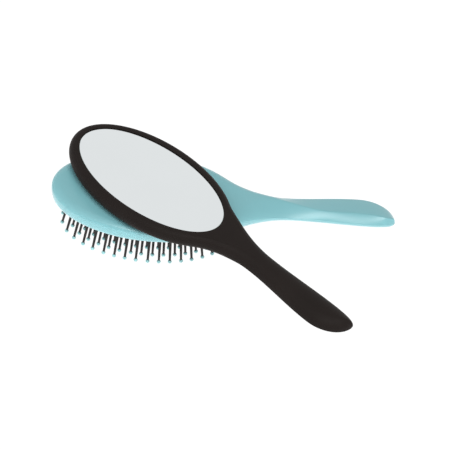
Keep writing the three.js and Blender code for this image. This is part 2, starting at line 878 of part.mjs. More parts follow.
// The band of the layer that a run of rows stands in
function rowBand(firstRow, lastRow) {
  const bottom = sliceTop - sliceThickness - cushionCrown - overcut;
  const top = sliceTop + overcut;
  const [outerA, outerB] = rowSize(firstRow - 0.5);
  const outer = prism(oval(2 * outerA - seatGap, 2 * outerB - seatGap, cushionX), bottom, top);
  if (lastRow === pinRows - 1) {
    return outer;
  }
  const [innerA, innerB] = rowSize(lastRow + 0.5);
  const inner = oval(2 * innerA + seatGap, 2 * innerB + seatGap, cushionX);
  return outer.subtract(prism(inner, bottom - overcut, top + overcut));
}

function pinsInRows(firstRow, lastRow) {
  const pins = [];
  for (let row = firstRow; row <= lastRow; row += 1) {
    pins.push(...rowPlaces(row).map(pin));
  }
  return pinLayer().intersect(rowBand(firstRow, lastRow)).add(join(pins));
}

// The model

function part(name, solid, look) {
  const mesh = new THREE.Mesh(geometryOf(solid), new THREE.MeshStandardMaterial(look));
  mesh.name = name;
  return mesh;
}

const model = new THREE.Group();

model.add(part('brush_back_shell', brushBackShell(), teal));
model.add(part('brush_handle_cover', brushHandleCover(), teal));
brushScrews().forEach((screw, i) => {
  model.add(part(`handle_cover_screw_${i + 1}`, screwSolid(screw), steel));
});
model.add(part('cushion_ring', cushionRing(), teal));
model.add(part('cushion_pad', cushionPad(), rubber));
for (let row = 0; row < singleRows; row += 1) {
  model.add(part(`pin_row_${row + 1}`, pinsInRows(row, row), black));
}
model.add(part('pin_rows_inner', pinsInRows(singleRows, pinRows - 1), black));
model.add(part('thrust_washer', thrustWasher(), acetal));
model.add(part('pivot_bush', pivotBush(), brass));
model.add(part('wave_washer', waveWasher(), steel));

const mirror = new THREE.Group();
mirror.rotation.z = THREE.MathUtils.degToRad(restSwing);
mirror.add(part('mirror_frame', mirrorFrame(), black));
mirror.add(part('mirror_back_cover', mirrorBackCover(), black));
mirrorScrews().forEach((screw, i) => {
  mirror.add(part(`back_cover_screw_${i + 1}`, screwSolid(screw), steel));
});
mirror.add(part('mirror_glass', mirrorGlass(), silvered));
mirror.add(part('glass_foam', glassFoam(), foam));
mirror.add(part('pivot_spindle', pivotSpindle(), steel));
mirror.add(part('stop_washer', stopWasher(), steel));
mirror.add(part('pivot_screw', pivotScrew(), steel));
model.add(mirror);

export default model;
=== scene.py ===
"""Finished surfaces of an oval styling brush with a hand mirror that swivels on its back."""

import json
import math

import bpy
from bpy.props import FloatProperty, FloatVectorProperty, IntProperty, PointerProperty
from mathutils import Matrix, Vector


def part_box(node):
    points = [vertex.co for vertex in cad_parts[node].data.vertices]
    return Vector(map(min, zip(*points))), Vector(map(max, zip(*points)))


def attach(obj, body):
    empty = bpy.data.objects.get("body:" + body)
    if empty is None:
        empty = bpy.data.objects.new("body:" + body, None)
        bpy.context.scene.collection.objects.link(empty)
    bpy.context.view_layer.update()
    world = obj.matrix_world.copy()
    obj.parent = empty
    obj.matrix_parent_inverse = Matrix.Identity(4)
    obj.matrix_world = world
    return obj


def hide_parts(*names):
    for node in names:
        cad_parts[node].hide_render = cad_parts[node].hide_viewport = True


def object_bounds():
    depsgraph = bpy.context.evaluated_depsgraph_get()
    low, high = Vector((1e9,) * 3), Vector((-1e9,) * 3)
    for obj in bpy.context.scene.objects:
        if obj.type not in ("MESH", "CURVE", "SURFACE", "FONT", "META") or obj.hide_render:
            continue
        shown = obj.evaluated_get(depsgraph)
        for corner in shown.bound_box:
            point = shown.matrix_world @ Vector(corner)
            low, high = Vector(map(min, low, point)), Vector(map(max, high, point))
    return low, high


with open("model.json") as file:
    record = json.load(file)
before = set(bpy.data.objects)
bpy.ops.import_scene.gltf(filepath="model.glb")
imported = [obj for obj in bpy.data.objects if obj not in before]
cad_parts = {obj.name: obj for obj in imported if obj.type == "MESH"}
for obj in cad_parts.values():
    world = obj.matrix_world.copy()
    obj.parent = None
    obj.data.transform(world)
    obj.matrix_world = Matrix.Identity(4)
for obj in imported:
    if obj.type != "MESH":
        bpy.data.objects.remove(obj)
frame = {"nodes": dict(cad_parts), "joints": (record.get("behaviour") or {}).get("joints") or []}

bl_info = {
    "name": "Oval styling brush with swivel mirror",
    "version": (1, 0, 0),
    "blender": (4, 5, 0),
    "location": "View3D > Sidebar > Brush",
    "description": "Builds the brush, its cushion and pins, and the mirror that swivels on its back",
    "category": "Object",
}

MM = 0.001
CAD_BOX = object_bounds()

# Heights and places that the frame holds
SHELL_LOW, SHELL_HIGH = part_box("brush_back_shell")
MIRROR_LOW, MIRROR_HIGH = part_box("mirror_frame")
GLASS_LOW, GLASS_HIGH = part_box("mirror_glass")
RING_LOW, RING_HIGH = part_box("cushion_ring")
PAD_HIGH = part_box("cushion_pad")[1]
THRUST_LOW, THRUST_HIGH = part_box("thrust_washer")

# The mirror's handle lies over the brush's handle at the swivel's upper limit
REST_SWING = -math.radians(frame["joints"][0]["range_deg"][1])

# How far a cutting tool reaches past what it cuts
OVERCUT = 1 * MM
DEEP_OVERCUT = 5 * MM

# How far the middle of a small rounded edge lies from both its faces, in radii
CORNER = 0.3

# Half the width of a strip at its very ends
LEAST_HALF = 0.02 * MM

# Points round each kind of ring, and steps along each kind of curve
OVAL_POINTS = 144
GLASS_POINTS = 192
DRUM_POINTS = 48
SCREW_POINTS = 32
PIN_POINTS = 14
LIP_STEPS = 6
CROWN_STEPS = 24
SHAFT_STEPS = 6
TIP_STEPS = 9

# A collar's section as shares of its radius and height
COLLAR_SECTION = ((1.15, -0.8), (1, 0.1), (0.86, 0.72), (0.7, 1), (0.3, 1))

# A pin: widths of its foot as shares of the root, heights of its foot and of its shaft's start above
# the rubber, and how far the shaft goes on into the tip
PIN_FLARE = (1.25, 1.2, 1.02)
FOOT_LOW = -0.3 * MM
FOOT_HIGH = 1.6 * MM
SHAFT_LOW = 2.4 * MM
TIP_OVERLAP = 0.4 * MM

# Half the angle of the small flat on a round tip, in radians
TIP_FLAT = 0.12

# The glass: its chamfer below, and how far and how deep the edges of its bevel are softened
GLASS_CHAMFER = 0.15 * MM
BEVEL_SOFT = 0.08 * MM
BEVEL_SOFT_DROP = 0.032 * MM

# A screw's head as shares of its radius and height, then its rim, shank, point and cross
SCREW_HEAD_SECTION = ((0.55, 1), (0.8, 0.93), (0.95, 0.72), (1, 0.4))
SCREW_RIM = 0.02 * MM
SHANK_RADIUS = 1 * MM
SHANK_LENGTH = 3.2 * MM
POINT_LENGTH = 0.4 * MM
POINT_SHARE = 0.6
CROSS_REACH_SHARE = 0.6
CROSS_HALF = 0.25 * MM
CROSS_DEPTH_SHARE = 0.55

# The floor: half its size in metres, its gap under the pins, and how much of its look is plain white
FLOOR_HALF = 2.0
FLOOR_GAP = 0.2 * MM
FLOOR_GLOW = 0.93


def linear(code):
    """An sRGB hex colour as the linear numbers that a shader takes."""
    shares = [int(code[i:i + 2], 16) / 255 for i in (0, 2, 4)]
    return tuple(s / 12.92 if s <= 0.04045 else ((s + 0.055) / 1.055) ** 2.4 for s in shares)


def length(name, millimetres, description):
    """A length that a user can change, given in millimetres."""
    return FloatProperty(
        name=name, description=description, default=millimetres * MM, unit="LENGTH", precision=4
    )


def share(name, value, description):
    """A plain number without a unit."""
    return FloatProperty(name=name, description=description, default=value)


def angle(name, degrees, description):
    """An angle that a user can change, given in degrees."""
    return FloatProperty(
        name=name, description=description, default=math.radians(degrees), subtype="ANGLE"
    )


def whole(name, number, description, least=1):
    """A whole number that a user can change."""
    return IntProperty(name=name, description=description, default=number, min=least)


def colour(name, code, description):
    """A colour that a user can change, given as sRGB hex."""
    return FloatVectorProperty(
        name=name, description=description, default=linear(code), subtype="COLOR", size=3, min=0, max=1
    )


class BodyShape(bpy.types.PropertyGroup):
    """The outline and the sections that the brush body and the mirror body share."""

    head_half_length: length("Head half length", 61.6, "From the swivel axis to the far end of the head")
    head_width: length("Head width", 72.7, "Across the head")
    handle_reach: length("Handle reach", 161.6, "From the swivel axis to the tip of the handle")
    shoulder_x: length("Shoulder", 47, "Where the oval head starts to flow into the handle")
    neck_x: length("Neck", 93, "Where the handle is narrowest")
    neck_width: length("Neck width", 17, "Across the narrowest place")
    bulb_x: length("Bulb", 139.5, "Where the handle is widest")
    bulb_width: length("Bulb width", 21.7, "Across the widest place")
    neck_bend: length("Neck bend", -0.9, "How far the middle sways at the neck")
    neck_bend_x: length("Neck bend end", 60, "Where the neck's sway is complete")
    palm_bend: length("Palm bend", 3.8, "How far the middle sways in the palm")
    palm_bend_x: length("Palm bend end", 150, "Where the palm's sway is complete")
    tip_lean: share("Tip lean", 0.6, "How far the rounding of the tip leans to the near side")
    handle_depth: length("Handle depth", 10, "Thickness of the handle")
    brush_edge_reach: length("Brush edge reach", 6, "How far in the rounding on the brush's back goes")
    brush_under_reach: length("Brush under reach", 2.4, "How far in the rounding under its head goes")
    brush_edge_drop: length("Brush edge drop", 3.2, "How far the rounding of the brush's head drops")
    mirror_edge_reach: length("Mirror edge reach", 4.6, "How far in the rounding of the mirror's head goes")
    mirror_edge_drop: length("Mirror edge drop", 5.2, "How far the rounding of the mirror's head drops")
    near_edge_drop: length("Near edge drop", 3.8, "How far the handle's convex side drops")
    facet_drop: length("Facet drop", 3, "How far the handle's facet drops")
    handle_roundness: share("Handle roundness", 0.94, "How far in the dome under the handle goes")
    ridge_start_x: length("Ridge start", 68, "Where the ridge leaves the far edge")
    ridge_end_x: length("Ridge end", 120, "Where the ridge has crossed the handle")
    ridge_blend_x: length("Ridge blend", 88, "Where the flat head has given way to the ridge")
    ridge_blend_power: share("Ridge blend power", 0.3, "How fast the flat head gives way")
    ridge_start_share: share("Ridge start share", 0.8, "Place of the ridge at the neck, in half widths")
    ridge_offset: length("Ridge offset", 4.6, "From the middle of the handle to the ridge")
    ridge_tip_share: share("Ridge tip share", 0.6, "Most that the offset may be at the tip, in half widths")
    ridge_land: length("Ridge land", 0.3, "Half the width of the ridge's flat top")
    facet_straightness: share("Facet straightness", 0.85, "1 is a flat facet, 0 a round side")
    near_straightness: share("Near side straightness", 0.75, "1 is a flat side, 0 a round side")
    tip_inset: length("Tip inset", 1.5, "How far short of the tip the ridge ends")
    spine_tip_inset: length("Spine tip inset", 8, "How far short of the tip the dome's spine ends")
    steps: whole("Outline steps", 110, "Points along each side", 12)
    turns: whole("Section steps", 12, "Steps round each edge", 3)


class CoverSizes(bpy.types.PropertyGroup):
    """The glass, the covers and their screws."""

    glass_length: length("Glass length", 110.6, "Along the mirror glass")
    glass_width: length("Glass width", 58.8, "Across the mirror glass")
    glass_bevel: length("Glass bevel", 0.9, "Width of the bevel")
    glass_bevel_drop: length("Bevel drop", 0.2, "Height of the bevel")
    lip: length("Lip", 0.35, "Rounding of an edge beside a recess")
    gap: length("Seam", 0.3, "Gap between two pieces that seat on each other")
    thickness: length("Cover thickness", 2.6, "Of the back cover and of the brush's handle cover")
    strip_thickness: length("Strip thickness", 3.8, "Of the back cover along the mirror's handle")
    strip_start_x: length("Strip start", 70, "Where the back cover turns thicker")
    head_inset: length("Head inset", 6, "From the head's outline to the back cover")
    handle_inset: length("Handle inset", 3.6, "From the handle's outline to a cover")
    start_x: length("Handle cover start", 66, "Where the brush's handle cover starts")
    end_x: length("Handle cover end", 150, "Where the brush's handle cover ends")
    screw_head: length("Screw head", 4, "Diameter of a screw's head")
    screw_head_height: length("Screw head height", 1.2, "Height of a screw's head")
    screw_wall: length("Screw wall", 1.2, "Cover left over a screw's head")
    head_screw_x: length("Head screws along", 36, "From the swivel axis to the back cover's screws")
    head_screw_y: length("Head screws across", 14, "From the middle to the back cover's screws")
    handle_screw_near: length("First handle screw", 78, "Along the handle")
    handle_screw_far: length("Second handle screw", 140, "Along the handle")
    bush: length("Bush", 16, "Diameter of the bush in the brush's head")
    spindle: length("Spindle", 12, "Diameter of the spindle that the mirror turns on")


class CushionSizes(bpy.types.PropertyGroup):
    """The cushion and the pins that stand in it."""

    back_wall: length("Back wall", 2.6, "Of the shell behind the cushion's air space")
    ring_lip: length("Ring lip", 3, "Width of the ring round the cushion")
    sunk: length("Cushion edge", 0.3, "Gap round the cushion")
    skin: length("Skin", 2.2, "Thickness of the cushion's rubber")
    layer: length("Pin layer", 1.2, "Thickness of the rubber that the pins stand in")
    crown: length("Crown", 3.2, "How far the cushion swells out")
    fullness: share("Fullness", 0.8, "Shape of the crown: less is fuller")
    collar: length("Collar", 1.7, "Radius of the raised collar round a pin")
    collar_height: length("Collar height", 0.55, "Height of the raised collar round a pin")
    rows: whole("Rows", 5, "Oval rows of pins")
    single_rows: whole("Single rows", 3, "Outer rows made one by one")
    row_pitch: length("Row pitch", 5.75, "From one row to the next")
    pitch: length("Pin pitch", 6.6, "From one pin to the next along a row")
    phase: share("Phase", 0.2, "Where a row's first pin stands, in pitches")
    edge_margin: length("Edge margin", 2.9, "From the ring to the outer row")
    pin_length: length("Pin length", 20.2, "From the rubber to the round tip")
    root_diameter: length("Root diameter", 2, "Pin's diameter at the rubber")
    end_diameter: length("End diameter", 1.5, "Pin's diameter below its tip")
    tip_diameter: length("Tip diameter", 2.6, "Diameter of the round tip")
    fan_along: share("Fan along", 0.25, "Degrees that a pin leans out per millimetre along the head")
    fan_growth: share("Fan growth", 0.0012, "Degrees more per square millimetre along the head")
    fan_across: share("Fan across", 0.62, "Degrees that a pin leans out per millimetre across the head")
    lean: share("Lean", 2.5, "Degrees that all pins lean towards the handle")


class Finishes(bpy.types.PropertyGroup):
    """Colours of the finishes."""

    teal: colour("Teal", "80BCC3", "Moulded brush body")
    black: colour("Soft black", "1D1816", "Soft-touch mirror body")
    black_rim: colour("Soft black nap", "8A7A6C", "Nap of the soft-touch coat seen edge on")
    silver: colour("Silvering", "DFE3E4", "Silver behind the mirror glass")
    glass_edge: colour("Glass edge", "9CBFB4", "Ground edge of the glass")
    pin: colour("Pin nylon", "211E1C", "Moulded pins")
    tip: colour("Pin tips", "A2D6D8", "Dipped round tips")
    rubber: colour("Cushion rubber", "1B1A1A", "Air cushion")
    zinc: colour("Zinc plate", "C3C6C8", "Screws and spindle")
    brass: colour("Brass", "C8A860", "Bush")
    acetal: colour("Acetal", "E8E6DF", "Thrust washer")
    foam: colour("Foam", "6D6F70", "Sheet behind the glass")
    floor: colour("Floor", "F4F4F4", "Studio floor")


class StageSettings(bpy.types.PropertyGroup):
    """The camera and the lamps."""

    elevation: angle("Elevation", 45.44, "Camera above the horizon")
    azimuth: angle("Azimuth", -100.9, "Camera's bearing from the +X axis")
    roll: angle("Roll", 13.53, "Camera's turn about its line of sight")
    distance: length("Distance", 1154.4, "From the camera to its aim")
    aim_x: length("Aim along", 47.54, "Camera's aim along the brush")
    aim_y: length("Aim across", -29.81, "Camera's aim across the brush")
    aim_z: length("Aim height", -4.25, "Height of the camera's aim")
    lens: FloatProperty(
        name="Lens", description="Focal length in millimetres", default=147.35, unit="CAMERA"
    )
    sky: share("Sky", 0.22, "Strength of the light from all round")
    key: share("Key", 6.0, "Power of the high lamp on the camera's side in watts")
    low: share("Low", 2.0, "Power of the low lamp at the camera's right in watts")
    far: share("Far lamp", 0.15, "Light from low behind the brush, in watts")
    side: share("Side", 1.8, "Power of the wide lamp at the camera's left in watts")
    back: share("Back", 3.3, "Power of the wide lamp behind the mirror in watts")
    table: share("Table", 1.1, "Strength of the light that comes up through the floor")


# Outline and sections of a body


def quarter(steps):
    """Angles of a quarter turn."""
    return [math.pi / 2 * i / steps for i in range(steps + 1)]


def ease(value, start, end):
    """Goes smoothly from 0 at start to 1 at end."""
    part = min(1.0, max(0.0, (value - start) / (end - start)))
    return part * part * (3 - 2 * part)


def mix(low, high, part):
    """The number that lies a part of the way from low to high."""
    return low + (high - low) * part


def flow(x, start, end, value, slope, last):
    """A smooth curve that leaves value with a slope and arrives level at last."""
    span = end - start
    t = (x - start) / span
    lead = (2 * t - 3) * t * t + 1
    pull = ((t - 2) * t + 1) * t * span
    return lead * value + pull * slope + (1 - lead) * last


def half_width(body, x):
    """Half the width of the outline at a place along it."""
    half = body.head_width / 2
    if x <= body.shoulder_x:
        return half * math.sqrt(max(0.0, 1 - (x / body.head_half_length) ** 2))
    if x <= body.neck_x:
        start = half * math.sqrt(1 - (body.shoulder_x / body.head_half_length) ** 2)
        slope = -((half / body.head_half_length) ** 2) * body.shoulder_x / start
        return flow(x, body.shoulder_x, body.neck_x, start, slope, body.neck_width / 2)
    if x <= body.bulb_x:
        return flow(x, body.neck_x, body.bulb_x, body.neck_width / 2, 0, body.bulb_width / 2)
    part = min(1.0, (x - body.bulb_x) / (body.handle_reach - body.bulb_x))
    return body.bulb_width / 2 * math.sqrt(1 - part ** 2)


def middle(body, x):
    """Middle of the outline: it sways one way at the neck and the other in the palm, and leans back."""
    neck = body.neck_bend * ease(x, body.shoulder_x, body.neck_bend_x)
    palm = mix(neck, body.palm_bend, ease(x, body.neck_bend_x, body.palm_bend_x))
    lean = body.tip_lean * (body.bulb_width / 2 - half_width(body, x)) if x > body.bulb_x else 0.0
    return palm - lean


def outline(body):
    """Points round the outline, anticlockwise from the tip: place, side and inward direction."""
    steps = body.steps
    places = []
    for i in range(2 * steps):
        part = (1 + math.cos(math.pi * i / steps)) / 2
        x = part * (body.head_half_length + body.handle_reach) - body.head_half_length
        side = 0 if i in (0, steps) else (1 if i < steps else -1)
        places.append((Vector((x, middle(body, x) + side * half_width(body, x))), side))
    points = []
    for i, (place, side) in enumerate(places):
        along = (places[(i + 1) % len(places)][0] - places[i - 1][0]).normalized()
        points.append((place, side, Vector((-along.y, along.x))))
    return points


def squeeze(body, x, end):
    """Draws the last stretch in, so that a line along the handle ends short of the tip."""
    if x <= body.bulb_x:
        return x
    return body.bulb_x + (x - body.bulb_x) * (end - body.bulb_x) / (body.handle_reach - body.bulb_x)


def under_target(body, place, edge, handle):
    """Where the rounding under the body ends: near the head's edge, near the handle's middle."""
    x = squeeze(body, place.x, body.handle_reach - body.spine_tip_inset)
    spine = Vector((x, mix(place.y, middle(body, x), body.handle_roundness * handle)))
    return edge.lerp(spine, handle)


def ridge_target(body, place, side, edge, handle):
    """Where the rounding on the flat back ends: near the head's edge, on the handle's ridge."""
    x = squeeze(body, place.x, body.handle_reach - body.tip_inset)
    far_edge = middle(body, x) + half_width(body, x) * body.ridge_start_share
    swing = ease(x, body.ridge_start_x, body.ridge_end_x)
    offset = min(body.ridge_offset, half_width(body, x) * body.ridge_tip_share)
    crest = mix(far_edge, middle(body, x) - offset, swing)
    spine = Vector((x, crest + side * body.ridge_land))
    part = ease(place.x, body.shoulder_x, body.ridge_blend_x) * handle ** body.ridge_blend_power
    return edge.lerp(spine, part)


def section_point(body, point, turn, under, head):
    """A point of the section at one place of the outline. The flat back is at height 0."""
    place, side, inward = point
    head_depth, over_reach, under_reach, edge_drop = head
    handle = ease(place.x, body.shoulder_x, body.neck_x)
    drop = mix(edge_drop, body.facet_drop if side > 0 else body.near_edge_drop, handle)
    edge = place + inward * (under_reach if under else over_reach)
    if under:
        target = under_target(body, place, edge, handle)
        straight = 0.0
    else:
        target = ridge_target(body, place, side, edge, handle)
        straight = handle * (body.facet_straightness if side > 0 else body.near_straightness)
    reach = mix(1 - math.cos(turn), turn / (math.pi / 2), straight)
    rise = mix(math.sin(turn), turn / (math.pi / 2), straight)
    flat = place.lerp(target, reach)
    if under:
        depth = mix(head_depth, body.handle_depth, handle)
        return Vector((flat.x, flat.y, -drop - (depth - drop) * rise))
    return Vector((flat.x, flat.y, -drop * (1 - rise)))


def brush_head(body):
    """Depth of the brush's head, reach of its edge's rounding over and under, and its drop."""
    return SHELL_HIGH.z - SHELL_LOW.z, body.brush_edge_reach, body.brush_under_reach, body.brush_edge_drop


def mirror_head(body):
    """Depth of the mirror's head, reach of its edge's rounding over and under, and its drop."""
    reach = body.mirror_edge_reach
    return MIRROR_HIGH.z - MIRROR_LOW.z, reach, reach, body.mirror_edge_drop


def body_solid(name, body, head):
    """The whole body as one solid, with its flat back up at height 0."""
    points = outline(body)
    turns = quarter(body.turns)
    rings = [[section_point(body, p, t, True, head) for p in points] for t in reversed(turns[1:])]
    rings += [[section_point(body, p, t, False, head) for p in points] for t in turns]
    count = len(points)
    faces = bands(len(rings), count)
    for first, up in ((0, False), ((len(rings) - 1) * count, True)):
        for i in range(count // 2):
            quad = [first + i, first + i + 1, first + (count - i - 1) % count, first + (count - i) % count]
            corners = list(dict.fromkeys(quad))
            faces.append(corners if up else corners[::-1])
    return solid(name, [p for ring in rings for p in ring], faces)


# Making, cutting and finishing solids


def bands(rings, count, closed=False):
    """Faces between rings of equal count, from the lowest up, and back to it if closed."""
    faces = []
    for ring in range(rings if closed else rings - 1):
        low, high = ring * count, (ring + 1) % rings * count
        for i in range(count):
            j = (i + 1) % count
            faces.append([low + i, low + j, high + j, high + i])
    return faces


def solid(name, vertices, faces):
    """A new mesh object in the scene."""
    mesh = bpy.data.meshes.new(name)
    mesh.from_pydata([tuple(v) for v in vertices], [], faces)
    mesh.validate()
    made = bpy.data.objects.new(name, mesh)
    bpy.context.scene.collection.objects.link(made)
    return made


def lofts(name, shapes):
    """One mesh object of one or more shapes, each through rings of points, with flat ends."""
    vertices, faces = [], []
    for rings in shapes:
        start, count = len(vertices), len(rings[0])
        last = (len(rings) - 1) * count
        ends = [list(range(count))[::-1], list(range(last, last + count))]
        vertices += [p for ring in rings for p in ring]
        faces += [[start + i for i in face] for face in bands(len(rings), count) + ends]
    return solid(name, vertices, faces)


def loft(name, rings):
    """A solid through rings of points, with flat ends."""
    return lofts(name, [rings])


def oval_ring(a, b, height, x=0.0, y=0.0, count=OVAL_POINTS):
    """Points round a level oval with the half sizes a and b."""
    turns = [2 * math.pi * i / count for i in range(count)]
    return [Vector((x + a * math.cos(t), y + b * math.sin(t), height)) for t in turns]


def oval_solid(name, levels, a=0.0, b=0.0, x=0.0, y=0.0, count=OVAL_POINTS):
    """A solid through level ovals that are larger than the half sizes a and b by what each level says."""
    return loft(name, [oval_ring(a + grow, b + grow, z, x, y, count) for grow, z in levels])


def drum(name, radius, low, high, x=0.0, y=0.0):
    """A plain upright drum."""
    return oval_solid(name, [(radius, low), (radius, high)], x=x, y=y, count=DRUM_POINTS)


def block(name, ends, half, levels):
    """A block between two ends and two levels, and as far across as the half on either side."""
    corners = [(ends[0], -half), (ends[1], -half), (ends[1], half), (ends[0], half)]
    return loft(name, [[Vector((*corner, z)) for corner in corners] for z in levels])


def drawn_in(body, head_inset, handle_inset, height):
    """The outline drawn in, by one distance at the head and another along the handle."""
    ring = []
    end = body.handle_reach - handle_inset
    for place, side, inward in outline(body):
        if place.x > body.bulb_x:
            x = squeeze(body, place.x, end)
            half = inset_half(body, x, handle_inset, end)
            ring.append(Vector((x, middle(body, x) + side * half, height)))
        else:
            inset = mix(head_inset, handle_inset, ease(place.x, body.shoulder_x, body.neck_x))
            flat = place + inward * inset
            ring.append(Vector((flat.x, flat.y, height)))
    return ring


def inset_half(body, x, inset, end, start=None):
    """Half the width of a strip drawn in from the handle's outline, with round ends."""
    radius = body.bulb_width / 2 - inset
    from_end = end - x if start is None else min(x - start, end - x)
    rounding = math.sqrt(max(0.0, 1 - max(0.0, 1 - from_end / radius) ** 2))
    return max(LEAST_HALF, (half_width(body, x) - inset) * rounding)


def strip_ring(body, inset, start, end, height):
    """A strip with round ends that follows the handle, drawn in from its outline."""
    sides = {1: [], -1: []}
    for i in range(body.steps + 1):
        x = mix(start, end, (1 - math.cos(math.pi * i / body.steps)) / 2)
        half = inset_half(body, x, inset, end, start)
        for side, points in sides.items():
            points.append(Vector((x, middle(body, x) + side * half, height)))
    return sides[-1] + sides[1][::-1]


def settle(piece):
    """Turns a piece's modifiers into plain mesh."""
    graph = bpy.context.evaluated_depsgraph_get()
    settled = bpy.data.meshes.new_from_object(piece.evaluated_get(graph))
    old = piece.data
    piece.modifiers.clear()
    piece.data = settled
    bpy.data.meshes.remove(old)


def carve(piece, operation, *tools):
    """Cuts tools out of a piece, joins them to it or keeps what it shares with them."""
    for tool in tools:
        step = piece.modifiers.new("carve", "BOOLEAN")
        step.object = tool
        step.operation = operation
        step.solver = "EXACT"
    settle(piece)
    for tool in tools:
        bpy.data.objects.remove(tool)
    return piece


def join(pieces):
    """Joins pieces into the first of them."""
    with bpy.context.temp_override(
        active_object=pieces[0], selected_objects=pieces, selected_editable_objects=pieces
    ):
        bpy.ops.object.join()


def lift(piece, height):
    """Moves a piece's mesh up."""
    piece.data.transform(Matrix.Translation((0, 0, height)))


def spin(piece, radians, axis="Z"):
    """Turns a piece's mesh about an axis of the frame."""
    piece.data.transform(Matrix.Rotation(radians, 4, axis))


def dress(piece, body, slot, nodes, *makes, sharp=35):
    """Gives a piece its finishes and body, and hides the CAD nodes that it stands for.

    The slot is not used. The shading is smooth, and stays crisp at edges that are sharper than an angle in
    degrees.
    """
    piece.data.shade_smooth()
    piece.data.set_sharp_from_angle(angle=math.radians(sharp))
    indexes = [face.material_index for face in piece.data.polygons]
    piece.data.materials.clear()
    for make in makes:
        piece.data.materials.append(finish_of(make))
    last = len(makes) - 1
    piece.data.polygons.foreach_set("material_index", [min(i, last) for i in indexes])
    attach(piece, body)
    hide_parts(*nodes)


# Finishes


def finish_of(make):
    """The material that is named as its function is, made once."""
    name = make.__name__
    return bpy.data.materials.get(name) or make(name, bpy.context.scene.finish_colours)


def fresh_tree(owner):
    """The emptied node tree of a material or a world."""
    owner.use_nodes = True
    owner.node_tree.nodes.clear()
    return owner.node_tree


def add(tree, kind, inputs=None, links=None, **settings):
    """Adds a node with its settings, its plain inputs and its links."""
    node = tree.nodes.new(kind)
    for name, value in settings.items():
        setattr(node, name, value)
    for name, value in (inputs or {}).items():
        node.inputs[name].default_value = value
    for name, socket in (links or {}).items():
        tree.links.new(socket, node.inputs[name])
    return node


def shaded(name, base, tone, roughness, spread, mottle, grain, relief, stretch=None, **sockets):
    """A finish whose colour drifts to a tone, a share of its own, and whose roughness has a spread.

    The mottle and the grain are noises of real sizes, and the relief is the grain's height, all in
    millimetres. A stretch draws them out along an axis.
    """
    material = bpy.data.materials.new(name)
    tree = fresh_tree(material)
    place = add(tree, "ShaderNodeTexCoord").outputs["Object"]
    if stretch:
        place = add(tree, "ShaderNodeMapping", {"Scale": stretch}, {"Vector": place}).outputs["Vector"]
    slow_noise = {"Scale": 1 / (mottle * MM), "Detail": 3.0, "Roughness": 0.55}
    slow = add(tree, "ShaderNodeTexNoise", slow_noise, {"Vector": place}).outputs["Fac"]
    fine_noise = {"Scale": 1 / (grain * MM), "Detail": 2.0, "Roughness": 0.6}
    fine = add(tree, "ShaderNodeTexNoise", fine_noise, {"Vector": place}).outputs["Fac"]
    drift = add(tree, "ShaderNodeMapRange", {"From Min": 0.35, "From Max": 0.65}, {"Value": slow})
    toned = [min(1.0, channel * tone) for channel in base]
    colours = {"A": (*base, 1.0), "B": (*toned, 1.0)}
    tint = add(tree, "ShaderNodeMix", colours, {"Factor": drift.outputs["Result"]}, data_type="RGBA")
    span = {"To Min": roughness - spread, "To Max": roughness + spread}
    polish = add(tree, "ShaderNodeMapRange", span, {"Value": fine})
    bump = add(tree, "ShaderNodeBump", {"Strength": 1.0, "Distance": relief * MM}, {"Height": fine})
    links = {"Roughness": polish.outputs["Result"], "Normal": bump.outputs["Normal"]}
    shader = add(tree, "ShaderNodeBsdfPrincipled", sockets, links)
    tree.links.new(tint.outputs["Result"], shader.inputs["Base Color"])
    add(tree, "ShaderNodeOutputMaterial", links={"Surface": shader.outputs["BSDF"]})
    return material


def satin_moulded_abs(name, colours):
    """Satin moulded ABS: an even body colour with soft, broad highlights.

    The spark-eroded grain of the mould is about 0.05 mm, and is drawn at 0.4 mm so that it shows.
    """
    sheen = {"Sheen Weight": 0.8, "Sheen Roughness": 0.3, "Sheen Tint": (1, 1, 1, 1)}
    return shaded(
        name, colours.teal, tone=0.965, roughness=0.31, spread=0.03, mottle=26, grain=0.4,
        relief=0.004, IOR=1.54, **sheen,
    )


def soft_touch_lacquered_abs(name, colours):
    """Soft-touch lacquer sprayed on black ABS: a matt, slightly napped black with a warm pale rim.

    The lacquer's orange peel is about 0.6 mm.
    """
    nap = {"Sheen Weight": 0.2, "Sheen Roughness": 0.3, "Sheen Tint": (*colours.black_rim, 1.0),
           "Specular IOR Level": 0.1}
    return shaded(
        name, colours.black, tone=1.18, roughness=0.6, spread=0.05, mottle=22, grain=0.6,
        relief=0.006, IOR=1.5, **nap,
    )


def silvered_float_glass(name, colours):
    """Float glass silvered behind: a clear, cool mirror with faint waves 25 mm long in the glass."""
    return shaded(
        name, colours.silver, tone=0.99, roughness=0.02, spread=0.008, mottle=30, grain=25,
        relief=0.004, Metallic=1.0,
    )


def ground_glass_edge(name, colours):
    """Ground edge of the float glass: frosted and a little green. Grit of about 0.1 mm, drawn at 0.3."""
    return shaded(
        name, colours.glass_edge, tone=0.9, roughness=0.4, spread=0.08, mottle=4, grain=0.3,
        relief=0.01, IOR=1.52,
    )


def moulded_black_nylon(name, colours):
    """Injection-moulded nylon pins: black with a waxy gloss, flow lines along each pin."""
    return shaded(
        name, colours.pin, tone=1.3, roughness=0.36, spread=0.05, mottle=3, grain=0.5,
        relief=0.004, stretch=(1.0, 1.0, 0.15), IOR=1.53, **{"Specular IOR Level": 0.25},
    )


def epoxy_dipped_tips(name, colours):
    """Epoxy-dipped round tips: a glossy bead over the nylon, colour pooled a little darker in places."""
    return shaded(
        name, colours.tip, tone=0.82, roughness=0.2, spread=0.03, mottle=1.2, grain=0.6,
        relief=0.003, IOR=1.55,
    )


